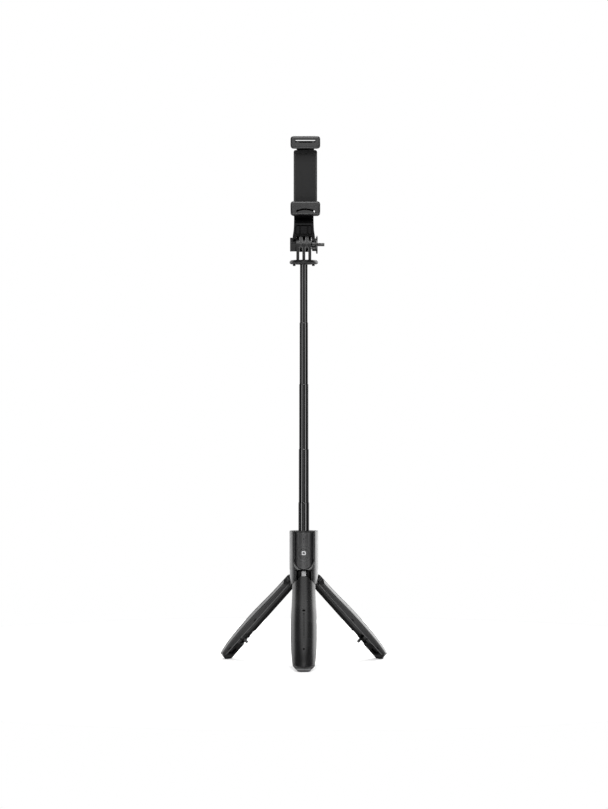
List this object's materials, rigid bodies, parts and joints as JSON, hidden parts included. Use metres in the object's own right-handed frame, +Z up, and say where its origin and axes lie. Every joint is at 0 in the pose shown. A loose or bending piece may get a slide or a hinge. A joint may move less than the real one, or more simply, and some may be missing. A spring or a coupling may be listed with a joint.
{
  "type": "selfie stick",
  "caption": "Telescopic selfie stick that stands on a fold-out tripod base, with a hinged spring clamp for a phone and a pull-out shutter remote.",
  "frame": {"origin": "on the ground under the pole, midway between the three feet", "axes": "+Z up along the pole, -Y towards the side with the remote and the front leg, +X to the right seen from that side"},
  "size_m": [0.1744, 0.1528, 0.5371],
  "materials": {
    "handle_plastic": "satin",
    "leg_plastic": "fine matt",
    "clamp_plastic": "satin",
    "remote_plastic": "soft gloss",
    "button_plastic": "soft gloss",
    "tube_black": "black gloss",
    "steel": "plain",
    "black_steel": "blackened",
    "rubber": "matt",
    "guide_plastic": "plain",
    "board": "plain",
    "lamp": "clear"
  },
  "bodies": {
    "handle": {"handle_body": "handle_plastic", "handle_screws": "steel", "top_collar": "handle_plastic", "hinge_block": "black_steel", "hinge_pins": "steel", "outer_tube": "tube_black", "outer_tube_plug": "guide_plastic"},
    "leg_front": {"leg_front_shell": "leg_plastic", "leg_front_cover": "leg_plastic", "leg_front_tongue": "steel", "leg_front_foot": "rubber", "leg_front_peg": "leg_plastic", "leg_front_screws": "steel"},
    "leg_right": {"leg_right_shell": "leg_plastic", "leg_right_cover": "leg_plastic", "leg_right_tongue": "steel", "leg_right_foot": "rubber", "leg_right_peg": "leg_plastic", "leg_right_screws": "steel"},
    "leg_left": {"leg_left_shell": "leg_plastic", "leg_left_cover": "leg_plastic", "leg_left_tongue": "steel", "leg_left_foot": "rubber", "leg_left_peg": "leg_plastic", "leg_left_screws": "steel"},
    "pole_1": {"tube_1": "tube_black", "tube_1_guide": "guide_plastic"},
    "pole_2": {"tube_2": "tube_black", "tube_2_guide": "guide_plastic"},
    "pole_3": {"tube_3": "tube_black", "tube_3_guide": "guide_plastic"},
    "pole_4": {"tube_4": "tube_black", "tube_4_guide": "guide_plastic"},
    "pole_5": {"tube_5": "tube_black", "tube_5_guide": "guide_plastic", "pole_top_plug": "guide_plastic"},
    "head": {"mount_base": "clamp_plastic", "swivel_stud": "steel", "captive_nut": "steel"},
    "thumbscrew": {"thumb_knob": "clamp_plastic", "hinge_screw": "steel"},
    "arm": {"clamp_arm": "clamp_plastic"},
    "clamp": {"clamp_body": "clamp_plastic", "clamp_back_cover": "clamp_plastic", "clamp_screws": "steel", "clamp_springs": "steel", "lower_jaw_pad": "rubber", "rest_pad": "rubber", "turn_rivet": "steel", "turn_washer": "guide_plastic"},
    "jaw": {"upper_jaw": "clamp_plastic", "upper_jaw_pad": "rubber"},
    "remote": {"remote_shell": "remote_plastic", "remote_back_cover": "remote_plastic", "remote_cell": "steel", "remote_board": "board", "remote_switch": "black_steel", "remote_lamp": "lamp"},
    "button": {"shutter_button": "button_plastic"}
  },
  "joints": [
    {"name": "leg_front_fold", "type": "hinge", "parent": "handle", "child": "leg_front", "pos_m": [0, -0.0094, 0.0902], "axis": [-1, 0, 0], "range_deg": [-45, 0]},
    {"name": "leg_right_fold", "type": "hinge", "parent": "handle", "child": "leg_right", "pos_m": [0.00814, 0.0047, 0.0902], "axis": [0.5, -0.866, 0], "range_deg": [-45, 0]},
    {"name": "leg_left_fold", "type": "hinge", "parent": "handle", "child": "leg_left", "pos_m": [-0.00814, 0.0047, 0.0902], "axis": [0.5, 0.866, 0], "range_deg": [-45, 0]},
    {"name": "pole_1_slide", "type": "slide", "parent": "handle", "child": "pole_1", "axis": [0, 0, 1], "range_m": [-0.0287, 0.0437]},
    {"name": "pole_2_slide", "type": "slide", "parent": "pole_1", "child": "pole_2", "axis": [0, 0, 1], "range_m": [-0.0543, 0.015]},
    {"name": "pole_3_slide", "type": "slide", "parent": "pole_2", "child": "pole_3", "axis": [0, 0, 1], "range_m": [-0.0663, 0]},
    {"name": "pole_4_slide", "type": "slide", "parent": "pole_3", "child": "pole_4", "axis": [0, 0, 1], "range_m": [-0.0628, 0]},
    {"name": "pole_5_slide", "type": "slide", "parent": "pole_4", "child": "pole_5", "axis": [0, 0, 1], "range_m": [-0.0596, 0]},
    {"name": "head_swivel", "type": "hinge", "parent": "pole_5", "child": "head", "pos_m": [0, 0, 0.4085], "axis": [0, 0, 1], "range_deg": [-180, 180]},
    {"name": "clamp_tilt", "type": "hinge", "parent": "head", "child": "arm", "pos_m": [0, 0, 0.4264], "axis": [1, 0, 0], "range_deg": [-90, 90]},
    {"name": "thumbscrew_turn", "type": "hinge", "parent": "head", "child": "thumbscrew", "pos_m": [0, 0, 0.4264], "axis": [1, 0, 0], "continuous": true},
    {"name": "clamp_turn", "type": "hinge", "parent": "arm", "child": "clamp", "pos_m": [0, 0, 0.4965], "axis": [0, 1, 0], "range_deg": [-90, 90]},
    {"name": "jaw_open", "type": "slide", "parent": "clamp", "child": "jaw", "axis": [0, 0, 1], "range_m": [0, 0.026], "stiffness_N_per_m": 150, "springref_m": -0.03, "deforming": ["clamp_springs"]},
    {"name": "remote_slide", "type": "slide", "parent": "handle", "child": "remote", "axis": [0, 0, 1], "range_m": [0, 0.045]},
    {"name": "button_press", "type": "slide", "parent": "remote", "child": "button", "axis": [0, 1, 0], "range_m": [0, 0.0005], "stiffness_N_per_m": 2000, "springref_m": -0.0005}
  ]
}
